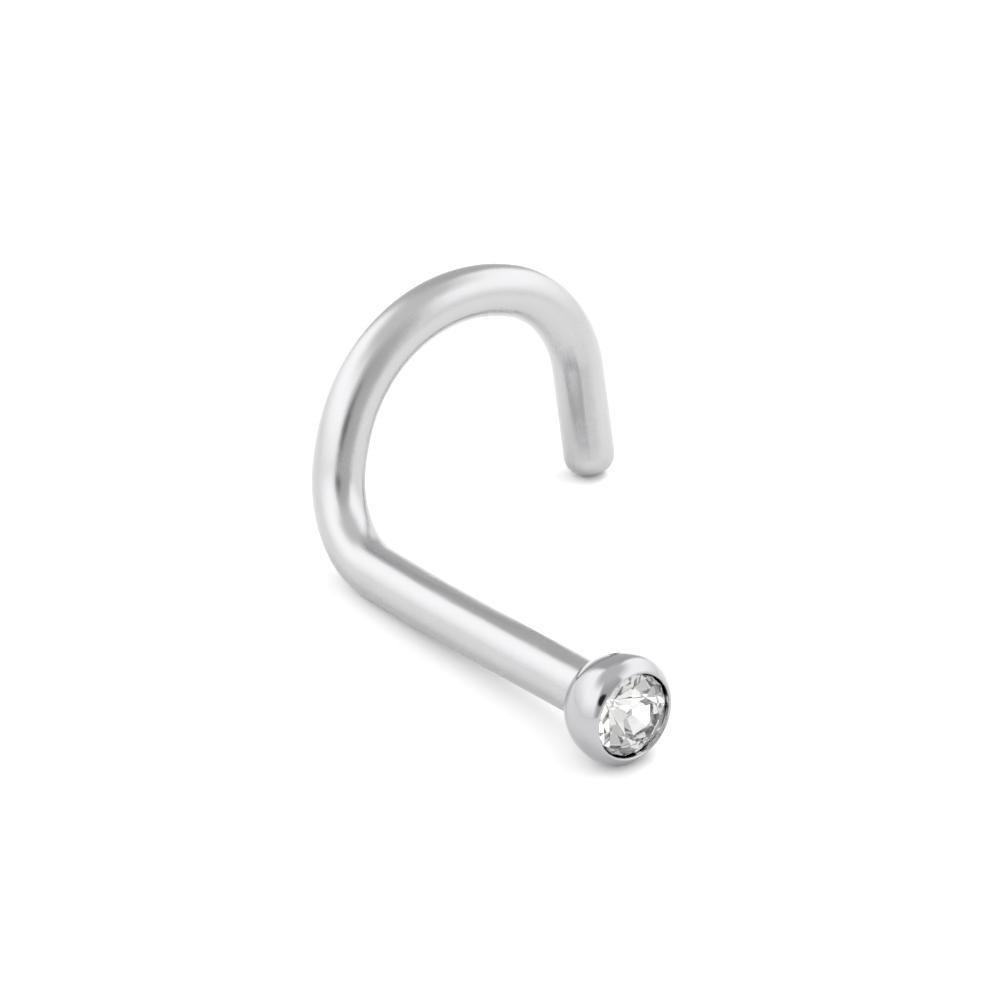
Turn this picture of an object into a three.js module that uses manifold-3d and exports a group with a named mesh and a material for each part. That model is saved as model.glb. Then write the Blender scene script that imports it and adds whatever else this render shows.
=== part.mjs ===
// A curled nose stud: a round-wire post with a ball setting on its front end, bent square into an
// open curl that ends in a short round-tipped tail, and a faceted crystal in the setting.
// Millimetres and degrees, +Z up. The stud lies as it rests by itself on a flat surface, on its ball,
// its bend and its tail tip. The crystal looks along -Y and the tail comes down on the +X side.
import * as THREE from 'three';
import { ConvexGeometry } from 'three/addons/geometries/ConvexGeometry.js';
import { ParametricGeometry } from 'three/addons/geometries/ParametricGeometry.js';
import { mergeVertices } from 'three/addons/utils/BufferGeometryUtils.js';
import Module from 'manifold-3d';

const wasm = await Module();
wasm.setup();

// Wire, measured along its centre line
const WIRE_DIAMETER = 1.0;
const POST_LENGTH = 7.08; // from the ball's centre to the bend
const POST_BOW_LENGTH = 3.0; // the last stretch of the post, which bows a little towards the curl
const POST_BOW = 2.8;
const BEND_RADIUS = 1.75;
const BEND_ANGLE = 79.6;
const CURL_TWIST = 4.8; // how far the curl's plane is off square to the post
const CURL_RADIUS = 3.19;
const TAIL_LENGTH = 2.14; // the straight end, its rounded tip included
const TIP_ROUNDING = 0.4;

// The curl from the bend to the tail: each stretch's radius as a share of CURL_RADIUS, and its turn
const CURL_STRETCHES = [
  { name: 'rise', radiusShare: 1.31, turn: 10 },
  { name: 'top', radiusShare: 1, turn: 83.8 },
  { name: 'fall', radiusShare: 0.61, turn: 70.2 },
];

// Ball setting
const BALL_DIAMETER = 1.96;
const BALL_FRONT = 0.58; // the reach of the ball's flattened front half, if it ran on to the axis
const RIM_ROUNDING = 0.035; // radius of the rim's inner edge
const SEAT_CLEARANCE = 0.025; // between the crystal and the cup that it sits in
const CUP_BACK_WALL = 0.15; // from the bottom of the cup to the end of the wire inside the ball

// Crystal, a round stone with eight main facets above and below its girdle
const STONE_DIAMETER = 1.46;
const TABLE_DIAMETER = 0.8;
const CROWN_ANGLE = 36;
const PAVILION_ANGLE = 40;
const GIRDLE_HEIGHT = 0.04;
const GIRDLE_BEHIND_RIM = 0.07;
const STAR_REACH = 0.5; // where the star facets end, between the table's edge and the girdle
const LOWER_FACET_REACH = 0.6; // where the lower half facets end, from the girdle to the culet
const MAIN_FACETS = 8;

// How finely round forms are divided
const WIRE_SIDES = 24;
const BEND_STEP = 5;
const STRAIGHT_STEP = 1.5;
const TIP_STEPS = 5;
const BALL_SIDES = 32;
const BALL_STEPS = 9;
const RIM_STEPS = 3;
const MERGE_DISTANCE = 1e-5;
const REST_ROUNDS = 30;

const radians = THREE.MathUtils.degToRad;
const POST_AXIS = new THREE.Vector3(1, 0, 0);
const WIRE_RADIUS = WIRE_DIAMETER / 2;
const BALL_RADIUS = BALL_DIAMETER / 2;
const BALL_CENTRE = new THREE.Vector3(POST_LENGTH, 0, 0);

// The setting and the crystal share one axis. Places on it are measured forwards from the ball's centre.
const STONE_RADIUS = STONE_DIAMETER / 2;
const TABLE_RADIUS = TABLE_DIAMETER / 2;
const CUP_RADIUS = STONE_RADIUS + SEAT_CLEARANCE;
const RIM_RADIUS = CUP_RADIUS + RIM_ROUNDING;
const RIM_PLACE = BALL_FRONT * Math.sqrt(1 - (RIM_RADIUS / BALL_RADIUS) ** 2);
const GIRDLE_TOP = RIM_PLACE - GIRDLE_BEHIND_RIM;
const GIRDLE_BASE = GIRDLE_TOP - GIRDLE_HEIGHT;
const PAVILION_SLOPE = Math.tan(radians(PAVILION_ANGLE));
const CULET_PLACE = GIRDLE_BASE - STONE_RADIUS * PAVILION_SLOPE;
const CUP_BOTTOM = CULET_PLACE - SEAT_CLEARANCE / Math.cos(radians(PAVILION_ANGLE));
const WIRE_START = CUP_BOTTOM - CUP_BACK_WALL;

// Walks along the wire and keeps a ring of the wire's section wherever one is needed
class WireWalk {
  constructor(centre, ahead, across) {
    this.centre = centre.clone();
    this.ahead = ahead.clone();
    this.across = across.clone();
    this.rings = [];
  }

  keepRing(radius = WIRE_RADIUS) {
    const up = new THREE.Vector3().crossVectors(this.ahead, this.across);
    this.rings.push({ centre: this.centre.clone(), across: this.across.clone(), up, radius });
  }

  straight(length) {
    const steps = Math.max(1, Math.ceil(length / STRAIGHT_STEP));
    for (let i = 0; i < steps; i++) {
      this.centre.addScaledVector(this.ahead, length / steps);
      this.keepRing();
    }
  }

  arc(radius, turn, axis) {
    const steps = Math.max(1, Math.ceil(turn / BEND_STEP));
    const toPivot = new THREE.Vector3().crossVectors(axis, this.ahead).multiplyScalar(radius);
    const pivot = this.centre.clone().add(toPivot);
    const step = new THREE.Quaternion().setFromAxisAngle(axis, radians(turn / steps));
    for (let i = 0; i < steps; i++) {
      this.centre.sub(pivot).applyQuaternion(step).add(pivot);
      this.ahead.applyQuaternion(step);
      this.across.applyQuaternion(step);
      this.keepRing();
    }
  }

  // The last ring's edge is rounded off to a flat disc, which closes on its centre
  roundedTip(rounding) {
    const start = this.centre.clone();
    for (let i = 1; i <= TIP_STEPS; i++) {
      const angle = (i / TIP_STEPS) * (Math.PI / 2);
      this.centre.copy(start).addScaledVector(this.ahead, rounding * Math.sin(angle));
      this.keepRing(WIRE_RADIUS - rounding * (1 - Math.cos(angle)));
    }
    this.keepRing(0);
  }
}

function walkWire() {
  const bendAxis = new THREE.Vector3(0, 1, 0);
  const start = BALL_CENTRE.clone().addScaledVector(POST_AXIS, WIRE_START);
  const walk = new WireWalk(start, POST_AXIS.clone().negate(), bendAxis);
  walk.keepRing(0);
  walk.keepRing();
  walk.straight(POST_LENGTH + WIRE_START - POST_BOW_LENGTH);
  walk.arc(POST_BOW_LENGTH / radians(POST_BOW), POST_BOW, bendAxis);
  walk.arc(BEND_RADIUS, BEND_ANGLE, bendAxis);
  // Square to the wire and as near to the post's direction as that allows, and then twisted
  const curlAxis = POST_AXIS.clone().negate();
  curlAxis.addScaledVector(walk.ahead, -curlAxis.dot(walk.ahead)).normalize();
  curlAxis.applyAxisAngle(walk.ahead, -radians(CURL_TWIST));
  for (const { radiusShare, turn } of CURL_STRETCHES) {
    walk.arc(CURL_RADIUS * radiusShare, turn, curlAxis);
  }
  walk.straight(TAIL_LENGTH - TIP_ROUNDING);
  walk.roundedTip(TIP_ROUNDING);
  return walk;
}

// A closed skin over the rings, which shrink to a point at both ends
function skinGeometry(rings) {
  const skin = (around, along, point) => {
    const ring = rings[Math.round(along * (rings.length - 1))];
    const angle = 2 * Math.PI * around;
    point.copy(ring.centre);
    point.addScaledVector(ring.across, ring.radius * Math.cos(angle));
    point.addScaledVector(ring.up, ring.radius * Math.sin(angle));
  };
  return new ParametricGeometry(skin, WIRE_SIDES, rings.length - 1);
}

// The ball and its cup turned as one outline round the axis: back half, flattened front, rim and cup
function ballGeometry() {
  const outline = [];
  const back = new THREE.EllipseCurve(0, 0, BALL_RADIUS, BALL_RADIUS, -Math.PI / 2, 0);
  outline.push(...back.getPoints(BALL_STEPS));
  const rimAngle = Math.acos(RIM_RADIUS / BALL_RADIUS);
  const front = new THREE.EllipseCurve(0, 0, BALL_RADIUS, BALL_FRONT, 0, rimAngle);
  outline.push(...front.getPoints(BALL_STEPS).slice(1));
  const edge = new THREE.EllipseCurve(
    RIM_RADIUS, RIM_PLACE - RIM_ROUNDING, RIM_ROUNDING, RIM_ROUNDING, Math.PI / 2, Math.PI,
  );
  outline.push(...edge.getPoints(RIM_STEPS).slice(1));
  outline.push(new THREE.Vector2(CUP_RADIUS, CUP_BOTTOM + CUP_RADIUS * PAVILION_SLOPE));
  outline.push(new THREE.Vector2(0, CUP_BOTTOM));
  outline[0].x = 0;
  const ball = new THREE.LatheGeometry(outline, BALL_SIDES);
  ball.rotateZ(-Math.PI / 2);
  ball.translate(BALL_CENTRE.x, BALL_CENTRE.y, BALL_CENTRE.z);
  return ball;
}

// A ring of corners round the +Z axis, half a facet further round when half is 0.5
function corners(count, radius, place, half = 0) {
  return Array.from({ length: count }, (_, i) => {
    const angle = ((i + half) / count) * 2 * Math.PI;
    return new THREE.Vector3(radius * Math.cos(angle), radius * Math.sin(angle), place);
  });
}

// The crystal along +Z, with its girdle's corners on STONE_RADIUS. The corners between two main
// facets lie in both of their planes, so every facet is flat.
function crystalGeometry() {
  const facetHalf = Math.cos(Math.PI / MAIN_FACETS);
  const crownSlope = Math.tan(radians(CROWN_ANGLE));
  const tablePlace = GIRDLE_TOP + (STONE_RADIUS - TABLE_RADIUS) * crownSlope;
  const starRadius = THREE.MathUtils.lerp(TABLE_RADIUS, STONE_RADIUS, STAR_REACH);
  const starPlace = tablePlace - (starRadius * facetHalf - TABLE_RADIUS) * crownSlope;
  const lowerRadius = STONE_RADIUS * (1 - LOWER_FACET_REACH);
  const lowerPlace = CULET_PLACE + lowerRadius * facetHalf * PAVILION_SLOPE;
  return new ConvexGeometry([
    ...corners(MAIN_FACETS, TABLE_RADIUS, tablePlace),
    ...corners(MAIN_FACETS, starRadius, starPlace, 0.5),
    ...corners(2 * MAIN_FACETS, STONE_RADIUS, GIRDLE_TOP),
    ...corners(2 * MAIN_FACETS, STONE_RADIUS, GIRDLE_BASE),
    ...corners(MAIN_FACETS, lowerRadius, lowerPlace, 0.5),
    new THREE.Vector3(0, 0, CULET_PLACE),
  ]);
}

// A closed geometry as a solid, with shared corners merged and triangles without area left out
function toSolid(geometry) {
  geometry.deleteAttribute('normal');
  geometry.deleteAttribute('uv');
  const merged = mergeVertices(geometry, MERGE_DISTANCE);
  const corner = merged.index.array;
  const kept = [];
  for (let i = 0; i < corner.length; i += 3) {
    const [a, b, c] = corner.slice(i, i + 3);
    if (a !== b && b !== c && c !== a) kept.push(a, b, c);
  }
  const vertProperties = new Float32Array(merged.getAttribute('position').array);
  const triVerts = new Uint32Array(kept);
  return new wasm.Manifold(new wasm.Mesh({ numProp: 3, vertProperties, triVerts }));
}

function fromSolid(solid) {
  const { vertProperties, triVerts } = solid.getMesh();
  const geometry = new THREE.BufferGeometry();
  geometry.setAttribute('position', new THREE.BufferAttribute(vertProperties, 3));
  geometry.setIndex(new THREE.BufferAttribute(triVerts, 1));
  geometry.computeVertexNormals();
  return geometry;
}

function lowestPoint(points, up) {
  return points.reduce((low, point) => (point.dot(up) < low.dot(up) ? point : low));
}

// The direction that is up when the stud lies on its ball, its bend and its tail tip
function restingUp(geometry, tip) {
  const position = geometry.getAttribute('position');
  const points = Array.from({ length: position.count }, (_, i) => (
    new THREE.Vector3().fromBufferAttribute(position, i)
  ));
  const near = (place, reach) => points.filter((point) => point.distanceTo(place) < reach);
  const bendPlace = new THREE.Vector3();
  const ball = near(BALL_CENTRE, BALL_DIAMETER);
  const bend = near(bendPlace, BEND_RADIUS + WIRE_DIAMETER);
  const tail = near(tip, TAIL_LENGTH);
  let up = new THREE.Vector3(0, 0, 1);
  for (let round = 0; round < REST_ROUNDS; round++) {
    const bendFoot = lowestPoint(bend, up);
    const toBall = lowestPoint(ball, up).clone().sub(bendFoot);
    const toTail = lowestPoint(tail, up).clone().sub(bendFoot);
    up = new THREE.Vector3().crossVectors(toBall, toTail).normalize();
  }
  return up;
}

const wire = walkWire();
const screwGeometry = fromSolid(toSolid(skinGeometry(wire.rings)).add(toSolid(ballGeometry())));

const screwMaterial = new THREE.MeshStandardMaterial({ color: 0xc9cacc, roughness: 0.3, metalness: 1 });
const screw = new THREE.Mesh(screwGeometry, screwMaterial);
screw.name = 'nose_screw';

const crystalMaterial = new THREE.MeshStandardMaterial({
  color: 0xf2f4f6, roughness: 0.02, metalness: 0, transparent: true, opacity: 0.6,
});
const crystal = new THREE.Mesh(crystalGeometry(), crystalMaterial);
crystal.name = 'crystal';
crystal.position.copy(BALL_CENTRE);
crystal.rotation.set(0, Math.PI / 2, 0);

// The stud is turned to its resting place, and stands with its box centred over the origin
const stud = new THREE.Group();
stud.add(screw, crystal);
const up = restingUp(screwGeometry, wire.centre);
const backwards = POST_AXIS.clone().negate();
backwards.addScaledVector(up, -backwards.dot(up)).normalize();
const sideways = new THREE.Vector3().crossVectors(backwards, up);
const restFrame = new THREE.Matrix4().makeBasis(sideways, backwards, up);
stud.quaternion.setFromRotationMatrix(restFrame).invert();
stud.updateMatrixWorld(true);
const box = new THREE.Box3().setFromObject(stud, true);
const middle = box.getCenter(new THREE.Vector3());
stud.position.set(-middle.x, -middle.y, -box.min.z);

const group = new THREE.Group();
group.add(stud);

export default group;
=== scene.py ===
"""A curled nose stud of satin polished steel wire, with a faceted crystal in its ball setting."""
import math

import bmesh
import bpy
import numpy as np
from mathutils import Matrix, Quaternion, Vector


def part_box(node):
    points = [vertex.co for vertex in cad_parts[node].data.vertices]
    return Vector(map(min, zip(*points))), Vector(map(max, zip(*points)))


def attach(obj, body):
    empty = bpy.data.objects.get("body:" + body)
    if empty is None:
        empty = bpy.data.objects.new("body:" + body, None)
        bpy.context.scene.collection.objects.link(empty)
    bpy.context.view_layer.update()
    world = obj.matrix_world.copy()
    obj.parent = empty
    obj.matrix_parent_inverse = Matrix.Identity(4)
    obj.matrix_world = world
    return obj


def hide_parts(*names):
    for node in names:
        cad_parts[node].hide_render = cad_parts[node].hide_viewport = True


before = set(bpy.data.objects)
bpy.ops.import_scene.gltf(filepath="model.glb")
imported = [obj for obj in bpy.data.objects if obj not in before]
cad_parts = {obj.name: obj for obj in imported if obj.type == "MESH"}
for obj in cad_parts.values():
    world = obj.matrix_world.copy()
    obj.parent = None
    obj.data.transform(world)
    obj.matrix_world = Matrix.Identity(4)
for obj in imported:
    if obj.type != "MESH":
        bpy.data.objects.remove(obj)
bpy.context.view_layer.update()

MM = 0.001

# Sizes of the stud, in millimetres and degrees
WIRE_RADIUS = 0.5
POST_LENGTH = 7.08
POST_BOW_LENGTH = 3.0
POST_BOW = 2.8
BEND_RADIUS = 1.75
BEND_ANGLE = 79.6
CURL_TWIST = 4.8
CURL_RADIUS = 3.19
# The curl's stretches: radius as a share of CURL_RADIUS, and turn in degrees
CURL_STRETCHES = {
    "rise": {"radius": 1.31, "turn": 10.0},
    "top": {"radius": 1.0, "turn": 83.8},
    "fall": {"radius": 0.61, "turn": 70.2},
}
TAIL_LENGTH = 2.14
TIP_ROUNDING = 0.4
BALL_RADIUS = 0.98
BALL_FRONT = 0.58
RIM_ROUNDING = 0.035
SEAT_CLEARANCE = 0.025
SOLDER_FILLET = 0.07
STONE_RADIUS = 0.73
TABLE_RADIUS = 0.4
CROWN_ANGLE = 36.0
PAVILION_ANGLE = 40.0
GIRDLE_HEIGHT = 0.04
GIRDLE_BEHIND_RIM = 0.07
MAIN_FACETS = 8
# Shares of the crown's and the pavilion's width. They give larger facets than the plain solid's.
STAR_REACH = 0.72
LOWER_FACET_REACH = 0.15

# Places on the setting's axis, measured forwards from the ball's centre
CUP_RADIUS = STONE_RADIUS + SEAT_CLEARANCE
RIM_RADIUS = CUP_RADIUS + RIM_ROUNDING
RIM_PLACE = BALL_FRONT * math.sqrt(1 - (RIM_RADIUS / BALL_RADIUS) ** 2)
GIRDLE_TOP = RIM_PLACE - GIRDLE_BEHIND_RIM
GIRDLE_BASE = GIRDLE_TOP - GIRDLE_HEIGHT
PAVILION_SLOPE = math.tan(math.radians(PAVILION_ANGLE))
CROWN_SLOPE = math.tan(math.radians(CROWN_ANGLE))
CULET_PLACE = GIRDLE_BASE - STONE_RADIUS * PAVILION_SLOPE
CUP_BOTTOM = CULET_PLACE - SEAT_CLEARANCE / math.cos(math.radians(PAVILION_ANGLE))

# How finely the dressed meshes are divided
RING_SIDES = 96
BEND_STEP = 1.5
STRAIGHT_STEP = 0.25
TIP_STEPS = 14
HEAD_STEP = 3.0
EDGE_STEPS = 8
CUP_SHARES = (0.5, 0.97, 1.0)
CUP_CORNER_SHARE = 0.03
MERGE_DISTANCE = 2e-8
FACET_JOIN = 1e-4
REST_ROUNDS = 30

# The photo's view: where the camera aims, how far off it stands and how it is turned
CAMERA_AIM = Vector((-0.578, 1.565, 1.627)) * MM
CAMERA_DISTANCE = 72.42 * MM
CAMERA_TURN = 37.09
CAMERA_ELEVATION = 28.95
CAMERA_ROLL = 1.27
CAMERA_LENS = 143.46
SENSOR_WIDTH = 36.0

# Finishes: a scale is in repeats per metre, and the streaks run along the wire, in repeats per millimetre
WIRE_ROUGHNESS = 0.26
BALL_ROUGHNESS = 0.07
DENT_DEPTH = 3e-6
STEEL_DARK = (0.415, 0.415, 0.42, 1.0)
STEEL_LIGHT = (0.445, 0.444, 0.452, 1.0)
BALL_TONE = (0.395, 0.39, 0.405, 1.0)
FOIL_LIGHT = (0.82, 0.82, 0.815, 1.0)
FOIL_DARK = (0.66, 0.66, 0.655, 1.0)
WHITE = (1.0, 1.0, 1.0, 1.0)
FLOOR_DARK = (0.925, 0.925, 0.925, 1.0)
FLOOR_LIGHT = (0.93, 0.93, 0.93, 1.0)
FLOOR_REACH = 1.0
BALL_EDGE = 0.12
BALL_DENT_SHARE = 0.15
CLOUD_SCALE = 1300.0
CLOUD_ROUGHNESS = 0.16
DENT_SCALE = 3600.0
STREAK_STRETCH = (9.0, 9.0, 1.2)
STREAK_ROUGHNESS = 0.06
STREAK_HEIGHT = 0.4
FOIL_MOTTLING_SCALE = 5000.0
FOIL_ROUGHNESS = 0.02
FOIL_ROUGHNESS_SPREAD = 0.03
FLOOR_GRAIN_SCALE = 20.0
GLASS_IOR = 1.56

# Light tent: bright cloth walls left and right of the stud, with dimmer gaps behind it and at the camera.
# Azimuth 0 is +Y and grows towards +X; each wall has a middle, a half width and a brightness.
TENT_WALLS = {
    "left": {"azimuth": -62.0, "half_width": 66.0, "brightness": 2.2},
    "right": {"azimuth": 110.0, "half_width": 50.0, "brightness": 2.15},
}
TENT_GAP = 0.84
TENT_TOP = 1.12
WALL_SOFTNESS = 7.0
# Elevations between which a wall brightens from its foot and fades into the tent's top
WALL_FOOT = (-5.0, 32.0)
WALL_FOOT_SHARE = 0.5
WALL_TOP = (44.0, 72.0)
# The camera's own dark shape: degrees from its middle to its edge, and how dark it is
CAMERA_SHADE = (8.0, 14.0)
CAMERA_DARKNESS = 0.95
# The lamp that gives the stud its faint shadow
KEY_AZIMUTH = 85.0
KEY_ELEVATION = 58.0
KEY_DISTANCE = 60 * MM
KEY_SIZE = 30 * MM
KEY_POWER = 0.011


class Maths:
    """A node socket that takes part in sums, each of which adds a Math node."""

    def __init__(self, nodes, socket):
        self.nodes = nodes
        self.socket = socket

    def maths(self, operation, *values):
        return self.nodes.make("ShaderNodeMath", {"operation": operation}, *values)

    def __add__(self, other):
        return self.maths("ADD", self, other)

    __radd__ = __add__

    def __sub__(self, other):
        return self.maths("SUBTRACT", self, other)

    def __rsub__(self, other):
        return self.maths("SUBTRACT", other, self)

    def __mul__(self, other):
        return self.maths("MULTIPLY", self, other)

    __rmul__ = __mul__

    def __truediv__(self, other):
        return self.maths("DIVIDE", self, other)

    def ramp(self, low, high):
        """0 below low, 1 above high, and smooth between them."""
        settings = {"interpolation_type": "SMOOTHSTEP"}
        return self.nodes.make("ShaderNodeMapRange", settings, self, low, high, 0.0, 1.0)


class Nodes:
    """A node tree with one way to add any node."""

    def __init__(self, tree):
        self.tree = tree
        tree.nodes.clear()

    def make(self, kind, settings=None, *values, out=0, **named):
        """Adds a node: its settings, then its sockets by place or name. Gives one of its outputs."""
        node = self.tree.nodes.new(kind)
        for name, value in (settings or {}).items():
            setattr(node, name, value)
        for place, value in enumerate(values):
            self.feed(node.inputs[place], value)
        for name, value in named.items():
            self.feed(node.inputs[name.replace("_", " ")], value)
        return Maths(self, node.outputs[out]) if node.outputs else None

    def feed(self, socket, value):
        if isinstance(value, Maths):
            self.tree.links.new(value.socket, socket)
        elif value is not None:
            socket.default_value = value

    def side(self, value, name):
        """Another output of the node that gave this value."""
        return Maths(self, value.socket.node.outputs[name])

    def mix_colour(self, share, first, second):
        node = self.tree.nodes.new("ShaderNodeMix")
        node.data_type = "RGBA"
        self.feed(node.inputs[0], share)
        self.feed(node.inputs[6], first)
        self.feed(node.inputs[7], second)
        return Maths(self, node.outputs[2])


class WireWalk:
    """Walks along the wire, and keeps a ring of its section wherever one is needed.

    It works in the stud's own frame: the post along X with the ball in front, and the bend turning to +Z.
    """

    def __init__(self, centre, ahead, across):
        self.centre = centre.copy()
        self.ahead = ahead.copy()
        self.across = across.copy()
        self.along = 0.0
        self.rings = []

    def keep(self, radius=WIRE_RADIUS):
        up = self.ahead.cross(self.across)
        self.rings.append((self.centre.copy(), self.across.copy(), up, radius, self.along))

    def straight(self, length):
        steps = max(1, math.ceil(length / STRAIGHT_STEP))
        for _ in range(steps):
            self.centre += self.ahead * (length / steps)
            self.along += length / steps
            self.keep()

    def arc(self, radius, turn, axis):
        steps = max(1, math.ceil(turn / BEND_STEP))
        pivot = self.centre + axis.cross(self.ahead) * radius
        step = Quaternion(axis, math.radians(turn / steps))
        for _ in range(steps):
            self.centre = pivot + step @ (self.centre - pivot)
            self.ahead = step @ self.ahead
            self.across = step @ self.across
            self.along += radius * math.radians(turn / steps)
            self.keep()

    def rounded_tip(self, rounding):
        start = self.centre.copy()
        begin = self.along
        for i in range(1, TIP_STEPS + 1):
            angle = i / TIP_STEPS * math.pi / 2
            self.centre = start + self.ahead * (rounding * math.sin(angle))
            self.along = begin + rounding * angle
            self.keep(WIRE_RADIUS - rounding * (1 - math.cos(angle)))
        self.keep(0.0)


def head_outline():
    """(place on the axis, radius) of the setting, from the bottom of its cup over the rim to the post."""
    outline = [(CUP_BOTTOM, 0.0)]
    seat = CUP_BOTTOM + CUP_RADIUS * PAVILION_SLOPE
    for share in CUP_SHARES:
        outline.append((CUP_BOTTOM + (seat - CUP_BOTTOM) * share, CUP_RADIUS * share))
    edge = RIM_PLACE - RIM_ROUNDING
    outline.append((seat + CUP_CORNER_SHARE * (edge - seat), CUP_RADIUS))
    outline.append((edge, CUP_RADIUS))
    for i in range(1, EDGE_STEPS + 1):
        angle = i / EDGE_STEPS * math.pi / 2
        outline.append((edge + RIM_ROUNDING * math.sin(angle), RIM_RADIUS - RIM_ROUNDING * math.cos(angle)))
    rim_angle = math.acos(RIM_RADIUS / BALL_RADIUS)
    steps = math.ceil(math.degrees(rim_angle) / HEAD_STEP)
    for i in range(1, steps + 1):
        angle = rim_angle * (1 - i / steps)
        outline.append((BALL_FRONT * math.sin(angle), BALL_RADIUS * math.cos(angle)))
    # The fillet touches the ball and the wire: its centre lies off both by its own radius
    reach = BALL_RADIUS + SOLDER_FILLET
    fillet_height = WIRE_RADIUS + SOLDER_FILLET
    fillet_place = -math.sqrt(reach ** 2 - fillet_height ** 2)
    back_angle = math.asin(fillet_height / reach)
    steps = math.ceil((90 - math.degrees(back_angle)) / HEAD_STEP)
    for i in range(1, steps + 1):
        angle = math.pi / 2 - (math.pi / 2 - back_angle) * i / steps
        outline.append((-BALL_RADIUS * math.cos(angle), BALL_RADIUS * math.sin(angle)))
    for i in range(1, EDGE_STEPS + 1):
        angle = back_angle + (math.pi / 2 - back_angle) * i / EDGE_STEPS
        across = fillet_height - SOLDER_FILLET * math.sin(angle)
        outline.append((fillet_place + SOLDER_FILLET * math.cos(angle), across))
    return outline


def screw_rings():
    """Rings from the bottom of the cup, over the ball and along the wire to the tail's tip."""
    post_axis = Vector((1, 0, 0))
    bend_axis = Vector((0, 1, 0))
    walk = WireWalk(Vector((POST_LENGTH, 0, 0)), -post_axis, bend_axis)
    place_before, radius_before = CUP_BOTTOM, 0.0
    for place, radius in head_outline():
        walk.along += math.hypot(place - place_before, radius - radius_before)
        walk.centre = Vector((POST_LENGTH + place, 0, 0))
        walk.keep(radius)
        place_before, radius_before = place, radius
    walk.straight(POST_LENGTH + place_before - POST_BOW_LENGTH)
    walk.arc(POST_BOW_LENGTH / math.radians(POST_BOW), POST_BOW, bend_axis)
    walk.arc(BEND_RADIUS, BEND_ANGLE, bend_axis)
    curl_axis = -post_axis
    curl_axis -= walk.ahead * curl_axis.dot(walk.ahead)
    curl_axis = Quaternion(walk.ahead, -math.radians(CURL_TWIST)) @ curl_axis.normalized()
    for stretch in CURL_STRETCHES.values():
        walk.arc(CURL_RADIUS * stretch["radius"], stretch["turn"], curl_axis)
    walk.straight(TAIL_LENGTH - TIP_ROUNDING)
    walk.rounded_tip(TIP_ROUNDING)
    return walk


def lowest(points, up):
    """The point that reaches least far along up."""
    return points[np.argmin(points @ up)]


def place_in_frame(walk, node_box):
    """The matrix from the stud's frame in millimetres to the part's in metres.

    The stud rests on its ball, its bend and the tip of its tail, with the post pointing along -Y.
    """
    angles = np.linspace(0, 2 * np.pi, RING_SIDES, endpoint=False)
    points = np.array([
        centre + (across * math.cos(angle) + up * math.sin(angle)) * radius
        for centre, across, up, radius, _ in walk.rings for angle in angles
    ])
    feet = [points[np.linalg.norm(points - place, axis=1) < reach] for place, reach in (
        (np.zeros(3), BEND_RADIUS + 2 * WIRE_RADIUS),
        (np.array((POST_LENGTH, 0, 0)), 2 * BALL_RADIUS),
        (np.array(walk.centre), TAIL_LENGTH),
    )]
    up = np.array((0.0, 0.0, 1.0))
    for _ in range(REST_ROUNDS):
        bend, ball, tail = (lowest(foot, up) for foot in feet)
        up = np.cross(ball - bend, tail - bend)
        up /= np.linalg.norm(up)
    back = np.array((-1.0, 0.0, 0.0))
    back -= up * (back @ up)
    back /= np.linalg.norm(back)
    turn = np.array((np.cross(back, up), back, up))
    turned = points @ turn.T
    middle = Vector((turned.min(0) + turned.max(0)) / 2)
    node_middle = (Vector(node_box[0]) + Vector(node_box[1])) / 2
    matrix = Matrix(turn.tolist()).to_4x4() @ Matrix.Scale(MM, 4)
    matrix.translation = (
        node_middle.x - middle.x * MM, node_middle.y - middle.y * MM, -turned[:, 2].min() * MM,
    )
    return matrix


def finished(source, name, *materials):
    """The evaluated result of an object's modifiers as a plain mesh object; the source goes.

    Its faces start on the first of the materials, with no empty slot beside them.
    """
    depsgraph = bpy.context.evaluated_depsgraph_get()
    mesh = bpy.data.meshes.new_from_object(source.evaluated_get(depsgraph))
    mesh.name = name
    mesh.materials.clear()
    for material in materials:
        mesh.materials.append(material)
    mesh.polygons.foreach_set("material_index", [0] * len(mesh.polygons))
    bpy.data.objects.remove(source)
    piece = bpy.data.objects.new(name, mesh)
    bpy.context.scene.collection.objects.link(piece)
    return piece


def node_group(name, sockets):
    """An empty Geometry Nodes tree with a geometry in and out and the named inputs."""
    tree = bpy.data.node_groups.new(name, "GeometryNodeTree")
    tree.interface.new_socket("Geometry", in_out="OUTPUT", socket_type="NodeSocketGeometry")
    tree.interface.new_socket("Geometry", in_out="INPUT", socket_type="NodeSocketGeometry")
    for label, kind in sockets:
        tree.interface.new_socket(label, in_out="INPUT", socket_type=kind)
    return tree


def run_group(piece, tree, **values):
    """Adds the tree as a modifier and sets its inputs by their identifiers."""
    modifier = piece.modifiers.new(tree.name, "NODES")
    modifier.node_group = tree
    for item in tree.interface.items_tree:
        if item.in_out == "INPUT" and item.name in values:
            modifier[item.identifier] = values[item.name]


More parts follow.
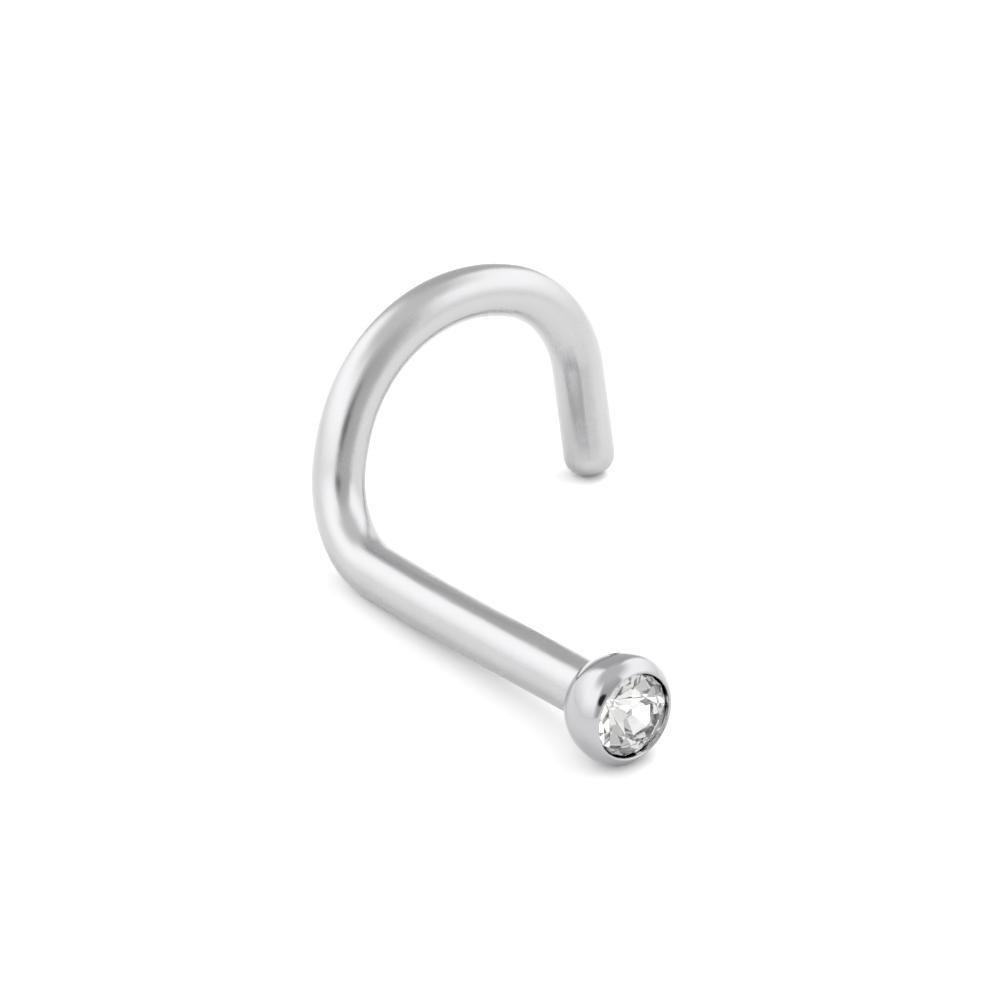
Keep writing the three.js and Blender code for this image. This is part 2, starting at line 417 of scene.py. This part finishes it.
def skin_tree():
    """Sweeps a round section over ring points, whose attributes give each ring's turn and size.

    A grid has a column for each side and a row for each ring, and its points move onto the rings.
    """
    tree = node_group("swept_skin", (("Sides", "NodeSocketInt"), ("Metal", "NodeSocketMaterial")))
    nodes = Nodes(tree)
    group = nodes.make("NodeGroupInput")
    rings, sides, metal = (nodes.side(group, name) for name in ("Geometry", "Sides", "Metal"))
    count = nodes.make("GeometryNodeAttributeDomainSize", None, rings)
    index = nodes.make("GeometryNodeInputIndex")
    grid = nodes.make("GeometryNodeMeshGrid", None, 1.0, 1.0, sides + 1, count)
    ring = index.maths("MODULO", index, count)
    side = index.maths("FLOOR", index / count)
    angle = side * (2 * math.pi) / sides

    def sampled(kind, value):
        return nodes.make(
            "GeometryNodeSampleIndex", {"data_type": kind}, Geometry=rings, Value=value, Index=ring,
        )

    def attribute(kind, name):
        return nodes.make("GeometryNodeInputNamedAttribute", {"data_type": kind}, name)

    def scaled(vector, amount):
        return nodes.make("ShaderNodeVectorMath", {"operation": "SCALE"}, vector, Scale=amount)

    def added(first, second):
        return nodes.make("ShaderNodeVectorMath", {"operation": "ADD"}, first, second)

    radius = sampled("FLOAT", attribute("FLOAT", "radius"))
    along = sampled("FLOAT", attribute("FLOAT", "along"))
    cosine = angle.maths("COSINE", angle)
    sine = angle.maths("SINE", angle)
    across = sampled("FLOAT_VECTOR", attribute("FLOAT_VECTOR", "across"))
    upward = sampled("FLOAT_VECTOR", attribute("FLOAT_VECTOR", "upward"))
    outward = added(scaled(across, cosine), scaled(upward, sine))
    centre = sampled("FLOAT_VECTOR", nodes.make("GeometryNodeInputPosition"))
    place = added(centre, scaled(outward, radius))
    moved = nodes.make("GeometryNodeSetPosition", None, nodes.side(grid, "Mesh"), Position=place)
    unrolled = nodes.make("ShaderNodeCombineXYZ", None, cosine, sine, along)
    stored = nodes.make(
        "GeometryNodeStoreNamedAttribute", {"data_type": "FLOAT_VECTOR", "domain": "POINT"}, moved,
        Name="unrolled", Value=unrolled,
    )
    merged = nodes.make("GeometryNodeMergeByDistance", None, stored, Distance=MERGE_DISTANCE)
    smooth = nodes.make("GeometryNodeSetShadeSmooth", None, merged)
    whole = nodes.make("GeometryNodeRealizeInstances", None, smooth)
    dressed = nodes.make("GeometryNodeSetMaterial", None, whole, Material=metal)
    nodes.make("NodeGroupOutput", None, dressed)
    return tree


def build_screw(walk, matrix, metal):
    """The post, curl, tail and setting as one skin."""
    rings = walk.rings
    mesh = bpy.data.meshes.new("ring_points")
    mesh.from_pydata([matrix @ centre for centre, *_ in rings], [], [])
    turn = matrix.to_3x3().normalized()
    for name, kind in (
        ("across", "FLOAT_VECTOR"), ("upward", "FLOAT_VECTOR"), ("radius", "FLOAT"), ("along", "FLOAT"),
    ):
        mesh.attributes.new(name, kind, "POINT")
    for place, (_, across, upward, radius, along) in enumerate(rings):
        mesh.attributes["across"].data[place].vector = turn @ across
        mesh.attributes["upward"].data[place].vector = turn @ upward
        mesh.attributes["radius"].data[place].value = radius * MM
        mesh.attributes["along"].data[place].value = along
    source = bpy.data.objects.new("ring_points", mesh)
    bpy.context.scene.collection.objects.link(source)
    run_group(source, skin_tree(), Sides=RING_SIDES, Metal=metal)
    return finished(source, "steel_nose_screw", metal)


def faceted_wedge():
    """One eighth of the crystal: table, star, kite and girdle facets over a main and two lower facets."""
    half = math.pi / MAIN_FACETS
    table_place = GIRDLE_TOP + (STONE_RADIUS - TABLE_RADIUS) * CROWN_SLOPE
    star_radius = TABLE_RADIUS + (STONE_RADIUS - TABLE_RADIUS) * STAR_REACH
    star_place = table_place - (star_radius * math.cos(half) - TABLE_RADIUS) * CROWN_SLOPE
    lower_radius = STONE_RADIUS * (1 - LOWER_FACET_REACH)
    lower_place = CULET_PLACE + lower_radius * math.cos(half) * PAVILION_SLOPE

    def corner(radius, angle, place):
        return (radius * math.cos(angle), radius * math.sin(angle), place)

    points = {
        "table_middle": (0, 0, table_place),
        "table": corner(TABLE_RADIUS, 0, table_place),
        "table_next": corner(TABLE_RADIUS, 2 * half, table_place),
        "star": corner(star_radius, half, star_place),
        "star_before": corner(star_radius, -half, star_place),
        "top": corner(STONE_RADIUS, 0, GIRDLE_TOP),
        "top_half": corner(STONE_RADIUS, half, GIRDLE_TOP),
        "top_before": corner(STONE_RADIUS, -half, GIRDLE_TOP),
        "base": corner(STONE_RADIUS, 0, GIRDLE_BASE),
        "base_half": corner(STONE_RADIUS, half, GIRDLE_BASE),
        "base_before": corner(STONE_RADIUS, -half, GIRDLE_BASE),
        "lower": corner(lower_radius, half, lower_place),
        "lower_before": corner(lower_radius, -half, lower_place),
        "culet": (0, 0, CULET_PLACE),
    }
    facets = (
        ("table_middle", "table", "table_next"),
        ("table", "star", "table_next"),
        ("table", "star_before", "top", "star"),
        ("top", "top_half", "star"),
        ("top_before", "top", "star_before"),
        ("top", "base", "base_half", "top_half"),
        ("top_before", "base_before", "base", "top"),
        ("base", "lower", "base_half"),
        ("base_before", "lower_before", "base"),
        ("base", "lower_before", "culet", "lower"),
    )
    names = list(points)
    mesh = bpy.data.meshes.new("facet_wedge")
    mesh.from_pydata(list(points.values()), [], [[names.index(name) for name in facet] for facet in facets])
    return mesh


def round_tree():
    """Sets copies of one wedge round the axis and joins them."""
    tree = node_group("wedges_round_axis", (
        ("Copies", "NodeSocketInt"), ("Join", "NodeSocketFloat"), ("Glass", "NodeSocketMaterial"),
    ))
    nodes = Nodes(tree)
    group = nodes.make("NodeGroupInput")
    names = ("Geometry", "Copies", "Join", "Glass")
    wedge, copies, join, glass = (nodes.side(group, name) for name in names)
    points = nodes.make("GeometryNodePoints", None, copies)
    index = nodes.make("GeometryNodeInputIndex")
    turn = nodes.make("ShaderNodeCombineXYZ", None, 0.0, 0.0, index * (2 * math.pi) / copies)
    placed = nodes.make("GeometryNodeInstanceOnPoints", None, points, Instance=wedge, Rotation=turn)
    whole = nodes.make("GeometryNodeRealizeInstances", None, placed)
    merged = nodes.make("GeometryNodeMergeByDistance", None, whole, Distance=join)
    dressed = nodes.make("GeometryNodeSetMaterial", None, merged, Material=glass)
    nodes.make("NodeGroupOutput", None, dressed)
    return tree


def build_crystal(matrix, glass, foil):
    """The cut stone, with foil behind its lower facets."""
    source = bpy.data.objects.new("facet_wedge", faceted_wedge())
    bpy.context.scene.collection.objects.link(source)
    run_group(source, round_tree(), Copies=MAIN_FACETS, Join=FACET_JOIN, Glass=glass)
    crystal = finished(source, "cut_crystal", glass, foil)
    mesh = crystal.data
    edit = bmesh.new()
    edit.from_mesh(mesh)
    table_middle = [v for v in edit.verts if v.co.xy.length < FACET_JOIN and v.co.z > 0]
    bmesh.ops.dissolve_verts(edit, verts=table_middle)
    bmesh.ops.recalc_face_normals(edit, faces=edit.faces)
    edit.to_mesh(mesh)
    edit.free()
    for face in mesh.polygons:
        face.use_smooth = False
        face.material_index = 1 if face.center.z < GIRDLE_BASE - FACET_JOIN else 0
    along_post = Matrix.Rotation(math.pi / 2, 4, "Y")
    mesh.transform(matrix @ Matrix.Translation((POST_LENGTH, 0, 0)) @ along_post)
    return crystal


def new_material(name):
    """A material with an empty node tree, and that tree."""
    material = bpy.data.materials.new(name)
    material.use_nodes = True
    return material, Nodes(material.node_tree)


def satin_steel(ball_centre):
    """Drawn wire polished to a satin shine, with soft cloudy patches; the ball is polished brighter."""
    material, nodes = new_material("satin_polished_steel")
    unrolled = nodes.make("ShaderNodeAttribute", {"attribute_name": "unrolled"}, out="Vector")
    stretched = nodes.make("ShaderNodeVectorMath", {"operation": "MULTIPLY"}, unrolled, STREAK_STRETCH)
    streaks = nodes.make("ShaderNodeTexNoise", None, stretched, Scale=1.0, Detail=4.0)
    where = nodes.make("ShaderNodeTexCoord", out="Object")
    clouds = nodes.make("ShaderNodeTexNoise", None, where, Scale=CLOUD_SCALE, Detail=3.0)
    dents = nodes.make("ShaderNodeTexNoise", None, where, Scale=DENT_SCALE, Detail=2.0)
    centre = tuple(ball_centre)
    far = nodes.make("ShaderNodeVectorMath", {"operation": "DISTANCE"}, where, centre, out="Value")
    on_wire = (far / MM).ramp(BALL_RADIUS, BALL_RADIUS + BALL_EDGE)
    satin = WIRE_ROUGHNESS + (clouds - 0.5) * CLOUD_ROUGHNESS + (streaks - 0.5) * STREAK_ROUGHNESS
    rough = BALL_ROUGHNESS + on_wire * (satin - BALL_ROUGHNESS)
    height = (streaks * STREAK_HEIGHT + dents) * (BALL_DENT_SHARE + (1 - BALL_DENT_SHARE) * on_wire)
    bump = nodes.make("ShaderNodeBump", None, Strength=1.0, Distance=DENT_DEPTH, Height=height)
    wire_tone = nodes.mix_colour(clouds, STEEL_DARK, STEEL_LIGHT)
    tone = nodes.mix_colour(on_wire, BALL_TONE, wire_tone)
    nodes.make("ShaderNodeOutputMaterial", None, nodes.make(
        "ShaderNodeBsdfPrincipled", None, Base_Color=tone, Metallic=1.0, Roughness=rough, Normal=bump,
    ))
    return material


def clear_glass():
    """The stone's clear glass, which shows on its table and crown."""
    material, nodes = new_material("stone_glass")
    nodes.make("ShaderNodeOutputMaterial", None, nodes.make(
        "ShaderNodeBsdfPrincipled", None, Base_Color=WHITE, Roughness=0.0, IOR=GLASS_IOR,
        Transmission_Weight=1.0,
    ))
    return material


def mirror_foil():
    """The foil behind the stone, with slight mottling."""
    material, nodes = new_material("mirror_foil")
    where = nodes.make("ShaderNodeTexCoord", out="Object")
    mottling = nodes.make("ShaderNodeTexNoise", None, where, Scale=FOIL_MOTTLING_SCALE, Detail=2.0)
    tone = nodes.mix_colour(mottling, FOIL_DARK, FOIL_LIGHT)
    rough = FOIL_ROUGHNESS + mottling * FOIL_ROUGHNESS_SPREAD
    nodes.make("ShaderNodeOutputMaterial", None, nodes.make(
        "ShaderNodeBsdfPrincipled", None, Base_Color=tone, Metallic=1.0, Roughness=rough,
    ))
    return material


def white_floor():
    """The plain white surface that the stud rests on."""
    material, nodes = new_material("white_floor")
    where = nodes.make("ShaderNodeTexCoord", out="Object")
    grain = nodes.make("ShaderNodeTexNoise", None, where, Scale=FLOOR_GRAIN_SCALE)
    tone = nodes.mix_colour(grain, FLOOR_DARK, FLOOR_LIGHT)
    nodes.make("ShaderNodeOutputMaterial", None, nodes.make("ShaderNodeBsdfDiffuse", None, tone))
    mesh = bpy.data.meshes.new("floor")
    corners = [(x * FLOOR_REACH, y * FLOOR_REACH, 0) for x, y in ((-1, -1), (1, -1), (1, 1), (-1, 1))]
    mesh.from_pydata(corners, [], [(0, 1, 2, 3)])
    mesh.materials.append(material)
    floor = bpy.data.objects.new("floor", mesh)
    bpy.context.scene.collection.objects.link(floor)


def toward(azimuth, elevation):
    """The direction at an azimuth and an elevation in degrees."""
    turn, rise = math.radians(azimuth), math.radians(elevation)
    return Vector((math.sin(turn) * math.cos(rise), math.cos(turn) * math.cos(rise), math.sin(rise)))


def light_tent():
    """The room that the metal and the crystal mirror. The camera itself sees a white backdrop."""
    world = bpy.data.worlds.new("light_tent")
    world.use_nodes = True
    bpy.context.scene.world = world
    nodes = Nodes(world.node_tree)
    direction = nodes.make("ShaderNodeTexCoord", out="Generated")
    apart = nodes.make("ShaderNodeSeparateXYZ", None, direction)
    x, y, z = (nodes.side(apart, name) for name in "XYZ")
    azimuth = x.maths("ARCTAN2", x, y) * math.degrees(1)
    elevation = z.maths("ARCSINE", z) * math.degrees(1)
    over = elevation.ramp(*WALL_TOP)
    foot = WALL_FOOT_SHARE + (1 - WALL_FOOT_SHARE) * elevation.ramp(*WALL_FOOT)
    brightness = TENT_GAP + over * (TENT_TOP - TENT_GAP)
    for wall in TENT_WALLS.values():
        # The angle off the wall's middle, kept within half a turn either way
        turned = azimuth.maths("MODULO", azimuth - wall["azimuth"] + 540.0, 360.0) - 180.0
        offset = turned.maths("ABSOLUTE", turned)
        edge = wall["half_width"]
        inside = 1.0 - offset.ramp(edge - WALL_SOFTNESS, edge + WALL_SOFTNESS)
        brightness = brightness + inside * (1.0 - over) * foot * (wall["brightness"] - TENT_GAP)
    # The camera stands in front of the tent as a small dark shape that the metal mirrors
    place = tuple(toward(CAMERA_TURN + 180.0, CAMERA_ELEVATION))
    cosine = nodes.make("ShaderNodeVectorMath", {"operation": "DOT_PRODUCT"}, direction, place, out="Value")
    angle = cosine.maths("ARCCOSINE", cosine) * math.degrees(1)
    brightness = brightness * (1.0 - CAMERA_DARKNESS * (1.0 - angle.ramp(*CAMERA_SHADE)))
    tent = nodes.make("ShaderNodeBackground", None, WHITE, brightness)
    backdrop = nodes.make("ShaderNodeBackground", None, WHITE, 1.0)
    camera_ray = nodes.make("ShaderNodeLightPath", out="Is Camera Ray")
    chosen = nodes.make("ShaderNodeMixShader", None, camera_ray, tent, backdrop)
    nodes.make("ShaderNodeOutputWorld", None, chosen)


def key_light():
    """A soft lamp from the tail's side that gives the stud its small shadow and isn't mirrored."""
    data = bpy.data.lights.new("key_light", "AREA")
    data.shape = "DISK"
    data.size = KEY_SIZE
    data.energy = KEY_POWER
    lamp = bpy.data.objects.new("key_light", data)
    bpy.context.scene.collection.objects.link(lamp)
    away = toward(KEY_AZIMUTH, KEY_ELEVATION)
    lamp.location = away * KEY_DISTANCE
    lamp.rotation_mode = "QUATERNION"
    lamp.rotation_quaternion = away.to_track_quat("Z", "Y")
    lamp.visible_glossy = False
    lamp.visible_transmission = False


def photo_camera():
    """The camera at the photo's viewing angle."""
    data = bpy.data.cameras.new("camera")
    data.lens = CAMERA_LENS
    data.sensor_width = SENSOR_WIDTH
    data.clip_start = 0.1 * CAMERA_DISTANCE
    data.clip_end = 5.0
    camera = bpy.data.objects.new("camera", data)
    bpy.context.scene.collection.objects.link(camera)
    ahead = toward(CAMERA_TURN, -CAMERA_ELEVATION)
    camera.location = CAMERA_AIM - ahead * CAMERA_DISTANCE
    level = ahead.to_track_quat("-Z", "Y")
    camera.rotation_mode = "QUATERNION"
    camera.rotation_quaternion = level @ Quaternion((0, 0, 1), math.radians(-CAMERA_ROLL))
    bpy.context.scene.camera = camera


scene = bpy.context.scene
scene.view_settings.view_transform = "Standard"
scene.cycles.max_bounces = 24
scene.cycles.transmission_bounces = 20
scene.cycles.glossy_bounces = 16

photo_camera()
light_tent()
key_light()
white_floor()

walk = screw_rings()
matrix = place_in_frame(walk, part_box("nose_screw"))
steel = satin_steel(matrix @ Vector((POST_LENGTH, 0, 0)))
screw = build_screw(walk, matrix, steel)
crystal = build_crystal(matrix, clear_glass(), mirror_foil())
for piece, node, slot in ((screw, "nose_screw", "polished_metal"), (crystal, "crystal", "clear_crystal")):
    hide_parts(node)
    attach(piece, "root")
